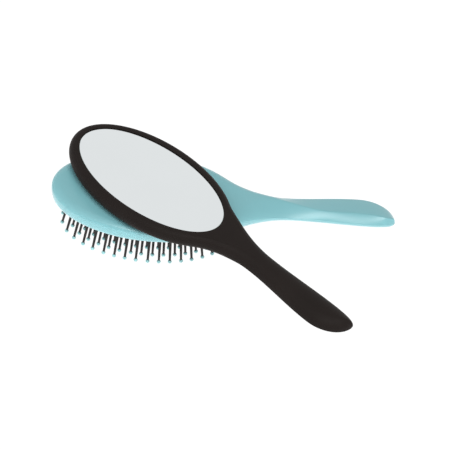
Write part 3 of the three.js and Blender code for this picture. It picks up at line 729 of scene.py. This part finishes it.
def vulcanised_rubber(name, colours):
    """Vulcanised natural rubber: dull black with a dusty bloom. Talc specks about 0.3 mm wide."""
    return shaded(
        name, colours.rubber, tone=1.9, roughness=0.78, spread=0.08, mottle=9, grain=0.3,
        relief=0.01, IOR=1.52,
    )


def zinc_plated_steel(name, colours):
    """Zinc-plated steel: pale metal with a clouded bright finish and tumbling marks 0.3 mm wide."""
    return shaded(
        name, colours.zinc, tone=0.86, roughness=0.3, spread=0.07, mottle=2.5, grain=0.3,
        relief=0.004, Metallic=1.0,
    )


def turned_brass(name, colours):
    """Turned brass: warm metal with fine marks left by the tool, about 0.15 mm apart."""
    return shaded(
        name, colours.brass, tone=0.85, roughness=0.28, spread=0.06, mottle=3, grain=0.15,
        relief=0.002, Metallic=1.0,
    )


def natural_acetal(name, colours):
    """Punched acetal sheet: waxy off-white with faint roller marks."""
    return shaded(
        name, colours.acetal, tone=0.94, roughness=0.4, spread=0.05, mottle=6, grain=0.4,
        relief=0.002, IOR=1.48,
    )


def closed_cell_foam(name, colours):
    """Closed-cell foam sheet: grey and dull, with cells about 0.5 mm wide cut open at its faces."""
    return shaded(
        name, colours.foam, tone=0.7, roughness=0.92, spread=0.05, mottle=2, grain=0.5,
        relief=0.08, IOR=1.5,
    )


# Pieces of the brush body


def brush_solid(name, body):
    """The whole brush body at its height in the frame."""
    made = body_solid(name, body, brush_head(body))
    lift(made, SHELL_HIGH.z)
    return made


def handle_seat(body, covers):
    """Height of the handle cover's top, which seats in the brush's handle."""
    return SHELL_HIGH.z - body.handle_depth + covers.thickness


def handle_spots(covers, body, side, seat):
    """Places of the screws along a handle, each with the seat of its head."""
    places = (covers.handle_screw_near, covers.handle_screw_far)
    return [((x, side * middle(body, x)), seat) for x in places]


def sinks(covers, spots, low):
    """The rooms that the screws' heads sink into."""
    radius = covers.screw_head / 2 + covers.gap
    return [drum("sink", radius, low, seat + covers.gap, *place) for place, seat in spots]


class OVALBRUSH_OT_back_shell(bpy.types.Operator):
    """Makes the teal shell: flat oval back, waisted handle with a ridge, and room for the cushion."""

    bl_idname = "ovalbrush.back_shell"
    bl_label = "Back shell"

    def execute(self, context):
        scene = context.scene
        body, covers, cushion = scene.body_shape, scene.cover_sizes, scene.cushion_sizes
        top, bottom = SHELL_HIGH.z, SHELL_LOW.z
        shell = brush_solid("back_shell", body)
        a, b, x = ring_size()
        lip, gap = covers.lip, covers.gap
        pocket = oval_solid("pocket", [
            (gap + lip, bottom - OVERCUT), (gap + lip, bottom), (gap + lip * CORNER, bottom + lip * CORNER),
            (gap, bottom + lip), (gap, PAD_HIGH.z + gap),
        ], a, b, x)
        ceiling = top - cushion.back_wall
        hollow = oval_solid("hollow", [(-cushion.ring_lip, z) for z in (PAD_HIGH.z, ceiling)], a, b, x)
        recess = loft("recess", [
            strip_ring(body, covers.handle_inset - gap, covers.start_x - gap, covers.end_x + gap, z)
            for z in (bottom - DEEP_OVERCUT, handle_seat(body, covers) + gap)
        ])
        # The washer stands on the swivel's axis, so its reach is its radius
        washer_room = drum("washer_room", THRUST_HIGH.x + gap, THRUST_LOW.z - gap, top + OVERCUT)
        bore = drum("bore", covers.bush / 2 + gap, ceiling - OVERCUT, top + OVERCUT)
        carve(shell, "DIFFERENCE", pocket, hollow, recess, washer_room, bore)
        dress(shell, "brush", "teal_plastic", ["brush_back_shell"], satin_moulded_abs)
        return {"FINISHED"}


class OVALBRUSH_OT_handle_cover(bpy.types.Operator):
    """Makes the strip that closes the hollow under the brush's handle, with its two screws."""

    bl_idname = "ovalbrush.handle_cover"
    bl_label = "Handle cover"

    def execute(self, context):
        body, covers = context.scene.body_shape, context.scene.cover_sizes
        cover = brush_solid("handle_cover", body)
        top, low = handle_seat(body, covers), SHELL_LOW.z - DEEP_OVERCUT
        plan = loft("plan", [
            strip_ring(body, covers.handle_inset, covers.start_x, covers.end_x, z) for z in (low, top)
        ])
        carve(cover, "INTERSECT", plan)
        spots = handle_spots(covers, body, 1, top - covers.screw_wall)
        carve(cover, "DIFFERENCE", *sinks(covers, spots, low))
        dress(cover, "brush", "teal_plastic", ["brush_handle_cover"], satin_moulded_abs)
        place_screws(covers, spots, "brush", "handle_cover_screw")
        return {"FINISHED"}


def ring_size():
    """Half length, half width and middle of the cushion's ring."""
    a, b = (RING_HIGH.x - RING_LOW.x) / 2, (RING_HIGH.y - RING_LOW.y) / 2
    return a, b, (RING_HIGH.x + RING_LOW.x) / 2


def crown_drop(cushion, part):
    """How far the crowned cushion lies below its edge, for a share of the way out."""
    return cushion.crown * (1 - part ** 2) ** cushion.fullness


class OVALBRUSH_OT_cushion(bpy.types.Operator):
    """Makes the crowned air cushion with a collar round each pin, and the ring that holds it."""

    bl_idname = "ovalbrush.cushion"
    bl_label = "Cushion and ring"

    def execute(self, context):
        cushion = context.scene.cushion_sizes
        self.edge_ring(cushion, context.scene.cover_sizes.lip)
        a, b, x = ring_size()
        gap, skin, low, high = cushion.sunk, cushion.skin, RING_LOW.z, RING_HIGH.z
        open_a, open_b = a - cushion.ring_lip - gap, b - cushion.ring_lip - gap
        shares = [math.sin(t) for t in quarter(CROWN_STEPS)[1:]]
        outer = [(open_a * s, open_b * s, low - crown_drop(cushion, s)) for s in shares]
        flange = [(open_a, open_b, high + gap), (a, b, high + gap), (a, b, PAD_HIGH.z)]
        in_a, in_b, in_low = open_a - skin, open_b - skin, low + cushion.layer + gap + skin
        inner = [(in_a * s, in_b * s, in_low - crown_drop(cushion, s)) for s in reversed(shares)]
        levels = outer + flange + [(in_a, in_b, PAD_HIGH.z)] + inner
        pad = loft("air_cushion", [oval_ring(la, lb, z, x) for la, lb, z in levels])
        feet = stances(cushion, range(cushion.rows))
        join([pad, lofts("collars", [collar(cushion, *foot) for foot in feet])])
        dress(pad, "brush", "cushion_rubber", ["cushion_pad"], vulcanised_rubber, sharp=50)
        return {"FINISHED"}

    def edge_ring(self, cushion, soft):
        """The ring round the cushion, with softened edges below."""
        a, b, x = ring_size()
        lip, low, high = cushion.ring_lip, RING_LOW.z, RING_HIGH.z
        mid, mid_low = soft * CORNER, RING_LOW.z + soft * CORNER
        levels = [
            (0.0, high), (0.0, low + soft), (mid, mid_low), (soft, low),
            (lip - soft, low), (lip - mid, mid_low), (lip, low + soft), (lip, high),
        ]
        points = [p for inset, z in levels for p in oval_ring(a - inset, b - inset, z, x)]
        ring = solid("cushion_edge_ring", points, bands(len(levels), OVAL_POINTS, closed=True))
        dress(ring, "brush", "teal_plastic", ["cushion_ring"], satin_moulded_abs)


def row_size(cushion, row):
    """Half length and half width of one oval row of pins."""
    a, b, _ = ring_size()
    inset = cushion.ring_lip + cushion.edge_margin + row * cushion.row_pitch
    return a - inset, b - inset


def row_places(cushion, row, samples=720):
    """Places in one oval row, evenly spaced and staggered from row to row."""
    a, b = row_size(cushion, row)
    along = [0.0]
    for i in range(samples):
        start, end = 2 * math.pi * i / samples, 2 * math.pi * (i + 1) / samples
        step = math.hypot(a * (math.sin(end) - math.sin(start)), b * (math.cos(end) - math.cos(start)))
        along.append(along[-1] + step)
    total = along[-1]
    count = math.floor(total / cushion.pitch + 0.5)
    places = []
    for k in range(count):
        wanted = total * (k + (cushion.phase + row / 2) % 1) / count
        turn = 2 * math.pi * next(i for i, reached in enumerate(along) if reached >= wanted) / samples
        places.append((a * math.sin(turn), -b * math.cos(turn)))
    return places


def stance(cushion, place):
    """Foot and direction of a pin: the pins fan out from the middle and lean to the handle."""
    a, b, middle_x = ring_size()
    x, y = place
    part = min(1.0, math.hypot(x / (a - cushion.ring_lip), y / (b - cushion.ring_lip)))
    steps = x / MM
    tilt = cushion.lean + cushion.fan_along * steps + cushion.fan_growth * steps ** 2
    along = math.tan(math.radians(tilt))
    across = math.tan(math.radians(cushion.fan_across * y / MM))
    foot = Vector((x + middle_x, y, RING_LOW.z - crown_drop(cushion, part)))
    return foot, Vector((along, across, -1)).normalized()


def stances(cushion, rows):
    """Stance of every pin in some of the rows."""
    return [stance(cushion, place) for row in rows for place in row_places(cushion, row)]


def turned_rings(profile, foot, direction):
    """Rings of a turned shape that stands on foot and points in a direction."""
    upright = Vector((0, 0, 1)).rotation_difference(direction).to_matrix()
    rings = [oval_ring(radius, radius, height, count=PIN_POINTS) for radius, height in profile]
    return [[foot + upright @ point for point in ring] for ring in rings]


def collar(cushion, foot, direction):
    """The raised collar of rubber that a pin comes out of."""
    radius, height = cushion.collar, cushion.collar_height
    profile = [(radius * out, height * up) for out, up in COLLAR_SECTION]
    return turned_rings(profile, foot, direction)


def pin_profile(cushion):
    """Radius and height along a tapered pin, from inside the rubber to its end."""
    root, end = cushion.root_diameter / 2, cushion.end_diameter / 2
    foot_heights = (FOOT_LOW, cushion.collar_height, FOOT_HIGH)
    foot = [(root * flare, height) for flare, height in zip(PIN_FLARE, foot_heights)]
    parts = [i / SHAFT_STEPS for i in range(SHAFT_STEPS + 1)]
    shaft = [(mix(root, end, part), mix(SHAFT_LOW, cushion.pin_length, part)) for part in parts]
    return foot + shaft + [(end, cushion.pin_length + TIP_OVERLAP)]


def tip_profile(cushion):
    """Radius and height round the bead on a pin's end."""
    radius = cushion.tip_diameter / 2
    middle_height = cushion.pin_length + radius
    neck = math.asin(cushion.end_diameter / cushion.tip_diameter)
    turns = [mix(math.pi - neck, TIP_FLAT, i / TIP_STEPS) for i in range(TIP_STEPS + 1)]
    return [(radius * math.sin(t), middle_height + radius * math.cos(t)) for t in turns]


class OVALBRUSH_OT_pins(bpy.types.Operator):
    """Makes the tapered pins and their round tips, row by row."""

    bl_idname = "ovalbrush.pins"
    bl_label = "Pins and tips"

    def execute(self, context):
        cushion = context.scene.cushion_sizes
        groups = [(f"row_{i + 1}", [i]) for i in range(cushion.single_rows)]
        groups.append(("rows_inner", range(cushion.single_rows, cushion.rows)))
        kinds = (
            ("pins", pin_profile(cushion), moulded_black_nylon),
            ("tips", tip_profile(cushion), epoxy_dipped_tips),
        )
        for label, rows in groups:
            feet = stances(cushion, rows)
            for kind, profile, make in kinds:
                made = lofts(f"{kind}_{label}", [turned_rings(profile, *foot) for foot in feet])
                dress(made, "brush", "pin_nylon", [f"pin_{label}"], make, sharp=50)
        return {"FINISHED"}


# Pieces of the mirror body


def mirrored_ring(ring):
    """A ring turned over with the mirror: across the middle, and still anticlockwise."""
    return [Vector((p.x, -p.y, p.z)) for p in reversed(ring)]


def mirror_solid(name, body):
    """The mirror body with its handle over the brush's handle."""
    made = body_solid(name, body, mirror_head(body))
    spin(made, math.pi, "X")
    lift(made, MIRROR_LOW.z)
    return made


def cover_room(body, covers, grow, low):
    """The space of the back cover: a plate, and a thicker strip along the handle."""
    insets = (covers.head_inset - grow, covers.handle_inset - grow)
    tops = {"plate": covers.thickness, "strip": covers.strip_thickness}
    plate, strip = (
        loft(name, [mirrored_ring(drawn_in(body, *insets, z)) for z in (low, MIRROR_LOW.z + top + grow)])
        for name, top in tops.items()
    )
    ends = (covers.strip_start_x - grow, body.handle_reach)
    levels = (low - OVERCUT, MIRROR_LOW.z + covers.strip_thickness + grow + OVERCUT)
    carve(strip, "INTERSECT", block("handle_half", ends, body.head_width, levels))
    return carve(plate, "UNION", strip)


def mirror_screw_spots(covers, body):
    """Places of the back cover's screws, each with the seat of its head."""
    head_seat = MIRROR_LOW.z + covers.thickness - covers.screw_wall
    strip_seat = MIRROR_LOW.z + covers.strip_thickness - covers.screw_wall
    x, y = covers.head_screw_x, covers.head_screw_y
    head = [((i * x, j * y), head_seat) for i in (-1, 1) for j in (-1, 1)]
    return head + handle_spots(covers, body, -1, strip_seat)


class OVALBRUSH_OT_mirror_frame(bpy.types.Operator):
    """Makes the black frame and handle, with a rounded lip round the glass."""

    bl_idname = "ovalbrush.mirror_frame"
    bl_label = "Mirror frame"

    def execute(self, context):
        body, covers = context.scene.body_shape, context.scene.cover_sizes
        piece = mirror_solid("mirror_frame_shell", body)
        a, b = covers.glass_length / 2 + covers.gap, covers.glass_width / 2 + covers.gap
        top, lip = MIRROR_HIGH.z, covers.lip
        rounding = [(lip * (1 - math.cos(t)), top - lip + lip * math.sin(t)) for t in quarter(LIP_STEPS)]
        levels = [(0.0, GLASS_LOW.z - covers.gap), *rounding, (lip, top + OVERCUT)]
        recess = oval_solid("recess", levels, a, b)
        room = cover_room(body, covers, covers.gap, MIRROR_LOW.z - OVERCUT)
        carve(piece, "DIFFERENCE", recess, room)
        spin(piece, REST_SWING)
        dress(piece, "mirror", "soft_touch_black", ["mirror_frame"], soft_touch_lacquered_abs)
        return {"FINISHED"}


class OVALBRUSH_OT_back_cover(bpy.types.Operator):
    """Makes the black cover under the mirror frame and its handle, with its screws."""

    bl_idname = "ovalbrush.back_cover"
    bl_label = "Mirror back cover"

    def execute(self, context):
        body, covers = context.scene.body_shape, context.scene.cover_sizes
        cover = mirror_solid("mirror_back_plate", body)
        low = MIRROR_LOW.z - OVERCUT
        carve(cover, "INTERSECT", cover_room(body, covers, 0.0, low))
        spots = mirror_screw_spots(covers, body)
        bore_top = MIRROR_LOW.z + covers.thickness + OVERCUT
        bore = drum("bore", covers.spindle / 2 + covers.gap, low, bore_top)
        carve(cover, "DIFFERENCE", bore, *sinks(covers, spots, low))
        spin(cover, REST_SWING)
        dress(cover, "mirror", "soft_touch_black", ["mirror_back_cover"], soft_touch_lacquered_abs)
        place_screws(covers, spots, "mirror", "back_cover_screw", REST_SWING)
        return {"FINISHED"}


class OVALBRUSH_OT_glass(bpy.types.Operator):
    """Makes the oval mirror glass with its polished bevel and ground edge."""

    bl_idname = "ovalbrush.glass"
    bl_label = "Mirror glass"

    def execute(self, context):
        covers = context.scene.cover_sizes
        low, high, bevel = GLASS_LOW.z, GLASS_HIGH.z, covers.glass_bevel
        edge = high - covers.glass_bevel_drop
        levels = [
            (-GLASS_CHAMFER, low), (0.0, low + GLASS_CHAMFER), (0.0, edge - BEVEL_SOFT),
            (-BEVEL_SOFT, edge), (BEVEL_SOFT - bevel, high - BEVEL_SOFT_DROP), (-BEVEL_SOFT - bevel, high),
        ]
        half_sizes = (covers.glass_length / 2, covers.glass_width / 2)
        glass = oval_solid("silvered_glass", levels, *half_sizes, count=GLASS_POINTS)
        for face in glass.data.polygons:
            face.material_index = 0 if face.center.z > edge - BEVEL_SOFT / 2 else 1
        spin(glass, REST_SWING)
        finishes = (silvered_float_glass, ground_glass_edge)
        dress(glass, "mirror", "silvered_glass", ["mirror_glass"], *finishes, sharp=12)
        return {"FINISHED"}


# Screws and inner pieces


def place_screws(covers, spots, body, node, swing=0.0):
    """Puts a cross-head screw at each spot, with its head below the seat, swung about the swivel."""
    for i, ((x, y), seat) in enumerate(spots):
        name = f"{node}_{i + 1}"
        screw = cross_head_screw(covers, f"cross_head_{name}")
        place = Matrix.Rotation(swing, 4, "Z") @ Vector((x, y, seat))
        screw.data.transform(Matrix.Translation(place))
        dress(screw, body, "zinc_steel", [name], zinc_plated_steel, sharp=40)


def cross_head_screw(covers, name):
    """A small screw that points up, with a rounded head and a cross in it."""
    radius, head = covers.screw_head / 2, covers.screw_head_height
    levels = [(radius * out, -head * down) for out, down in SCREW_HEAD_SECTION]
    levels += [
        (radius, -SCREW_RIM), (SHANK_RADIUS, 0.0), (SHANK_RADIUS, SHANK_LENGTH),
        (SHANK_RADIUS * POINT_SHARE, SHANK_LENGTH + POINT_LENGTH),
    ]
    screw = oval_solid(name, levels, count=SCREW_POINTS)
    reach = radius * CROSS_REACH_SHARE
    slots = [
        block("slot", (-reach, reach), CROSS_HALF, (-head - OVERCUT, head * CROSS_DEPTH_SHARE - head))
        for _ in range(2)
    ]
    spin(slots[1], math.pi / 2)
    return carve(screw, "DIFFERENCE", *slots)


class OVALBRUSH_OT_inner_pieces(bpy.types.Operator):
    """Finishes the pieces of the swivel and the foam, which keep their shapes from the frame."""

    bl_idname = "ovalbrush.inner_pieces"
    bl_label = "Swivel and foam"

    def execute(self, context):
        steel = ("wave_washer", "pivot_spindle", "stop_washer", "pivot_screw")
        makes = {
            "thrust_washer": natural_acetal, "pivot_bush": turned_brass,
            **dict.fromkeys(steel, zinc_plated_steel), "glass_foam": closed_cell_foam,
        }
        for node, make in makes.items():
            materials = frame["nodes"][node].data.materials
            materials.clear()
            materials.append(finish_of(make))
        return {"FINISHED"}


# Stage


def bearing(azimuth, elevation):
    """Unit vector towards a bearing from +X and a height above the horizon."""
    flat = math.cos(elevation)
    return Vector((flat * math.cos(azimuth), flat * math.sin(azimuth), math.sin(elevation)))


def lamp(name, azimuth, elevation, distance, size, watts, mirrored=False):
    """A soft square lamp that looks at the middle of the object, and may show in polished surfaces."""
    light = bpy.data.lights.new(name, "AREA")
    light.shape = "SQUARE"
    light.size = size
    light.energy = watts
    made = bpy.data.objects.new(name, light)
    aim = (CAD_BOX[0] + CAD_BOX[1]) / 2
    away = bearing(math.radians(azimuth), math.radians(elevation))
    made.location = aim + away * distance
    made.rotation_euler = (-away).to_track_quat("-Z", "Y").to_euler()
    made.visible_glossy = mirrored
    bpy.context.scene.collection.objects.link(made)


def seen_directly(tree):
    """1 for what the camera sees, also in metal and through glass, and 0 for light that bounces."""
    path = add(tree, "ShaderNodeLightPath").outputs
    first = {0: path["Is Camera Ray"], 1: path["Is Glossy Ray"]}
    either = add(tree, "ShaderNodeMath", links=first, operation="MAXIMUM")
    both = {0: either.outputs[0], 1: path["Is Transmission Ray"]}
    return add(tree, "ShaderNodeMath", links=both, operation="MAXIMUM").outputs[0]


def plain_light(tree, kind, strength):
    """White light of one strength, as a world's or a surface's own."""
    return add(tree, kind, {"Color": (1, 1, 1, 1), "Strength": strength}).outputs[0]


class OVALBRUSH_OT_stage(bpy.types.Operator):
    """Makes the camera, the pale floor, the lamps and the light from all round."""

    bl_idname = "ovalbrush.stage"
    bl_label = "Studio stage"

    def execute(self, context):
        scene = context.scene
        settings = scene.stage_settings
        scene.view_settings.view_transform = "Standard"
        self.camera(scene, settings)
        self.floor(settings, scene.finish_colours)
        lamp("key", -78, 64, distance=1.1, size=0.5, watts=settings.key, mirrored=True)
        lamp("low", -25, 22, distance=1.1, size=0.9, watts=settings.low)
        lamp("side", -150, 42, distance=1.2, size=0.9, watts=settings.side)
        lamp("back", 176, 50, distance=1.1, size=1.2, watts=settings.back)
        lamp("far", 79, 14, distance=1.1, size=0.5, watts=settings.far)
        world = bpy.data.worlds.new("studio")
        tree = fresh_tree(world)
        soft = plain_light(tree, "ShaderNodeBackground", settings.sky)
        white = plain_light(tree, "ShaderNodeBackground", 1.0)
        both = add(tree, "ShaderNodeMixShader", links={0: seen_directly(tree), 1: soft, 2: white})
        add(tree, "ShaderNodeOutputWorld", links={"Surface": both.outputs[0]})
        scene.world = world
        return {"FINISHED"}

    def camera(self, scene, settings):
        """The photograph's viewing angle."""
        data = bpy.data.cameras.new("camera")
        data.lens = settings.lens
        camera = bpy.data.objects.new("camera", data)
        scene.collection.objects.link(camera)
        away = bearing(settings.azimuth, settings.elevation)
        right = Vector((0, 0, 1)).cross(away).normalized()
        axes = Matrix((right, away.cross(right), away)).transposed()
        turned = axes @ Matrix.Rotation(settings.roll, 3, "Z")
        aim = Vector((settings.aim_x, settings.aim_y, settings.aim_z))
        camera.matrix_world = Matrix.Translation(aim + away * settings.distance) @ turned.to_4x4()
        scene.camera = camera

    def floor(self, settings, colours):
        """A wide pale floor under the pins that also gives off a little light."""
        corners = [(i * FLOOR_HALF, j * FLOOR_HALF, 0) for i, j in ((-1, -1), (1, -1), (1, 1), (-1, 1))]
        floor = solid("floor", corners, [[0, 1, 2, 3]])
        floor.location.z = CAD_BOX[0].z - FLOOR_GAP
        material = bpy.data.materials.new("painted_floor")
        tree = fresh_tree(material)
        paint = add(tree, "ShaderNodeBsdfDiffuse", {"Color": (*colours.floor, 1.0)}).outputs[0]
        table = plain_light(tree, "ShaderNodeEmission", settings.table)
        lit = add(tree, "ShaderNodeAddShader", links={0: paint, 1: table}).outputs[0]
        glow = plain_light(tree, "ShaderNodeEmission", 1.0)
        share_seen = {1: FLOOR_GLOW}
        seen = add(tree, "ShaderNodeMath", share_seen, {0: seen_directly(tree)}, operation="MULTIPLY")
        both = add(tree, "ShaderNodeMixShader", links={0: seen.outputs[0], 1: lit, 2: glow})
        add(tree, "ShaderNodeOutputMaterial", links={"Surface": both.outputs[0]})
        floor.data.materials.append(material)


class OVALBRUSH_PT_panel(bpy.types.Panel):
    """Lists the pieces and their sizes."""

    bl_idname = "OVALBRUSH_PT_panel"
    bl_label = "Oval styling brush"
    bl_space_type = "VIEW_3D"
    bl_region_type = "UI"
    bl_category = "Brush"

    def draw(self, context):
        for operator in OPERATORS:
            self.layout.operator(operator.bl_idname)
        for group in GROUPS:
            box = self.layout.box()
            settings = getattr(context.scene, group)
            for name in settings.bl_rna.properties.keys():
                if name not in ("rna_type", "name"):
                    box.prop(settings, name)


GROUPS = {
    "body_shape": BodyShape,
    "cover_sizes": CoverSizes,
    "cushion_sizes": CushionSizes,
    "finish_colours": Finishes,
    "stage_settings": StageSettings,
}
OPERATORS = [
    OVALBRUSH_OT_stage,
    OVALBRUSH_OT_back_shell,
    OVALBRUSH_OT_handle_cover,
    OVALBRUSH_OT_cushion,
    OVALBRUSH_OT_pins,
    OVALBRUSH_OT_mirror_frame,
    OVALBRUSH_OT_back_cover,
    OVALBRUSH_OT_glass,
    OVALBRUSH_OT_inner_pieces,
]


def register():
    for made in (*GROUPS.values(), *OPERATORS, OVALBRUSH_PT_panel):
        bpy.utils.register_class(made)
    for name, group in GROUPS.items():
        setattr(bpy.types.Scene, name, PointerProperty(type=group))


def unregister():
    for name in GROUPS:
        delattr(bpy.types.Scene, name)
    for made in (OVALBRUSH_PT_panel, *reversed(OPERATORS), *reversed(list(GROUPS.values()))):
        bpy.utils.unregister_class(made)


def main():
    """Registers everything and builds it in order."""
    register()
    for operator in OPERATORS:
        name = operator.bl_idname.split(".")[1]
        getattr(bpy.ops.ovalbrush, name)()


if __name__ == "__main__":
    main()
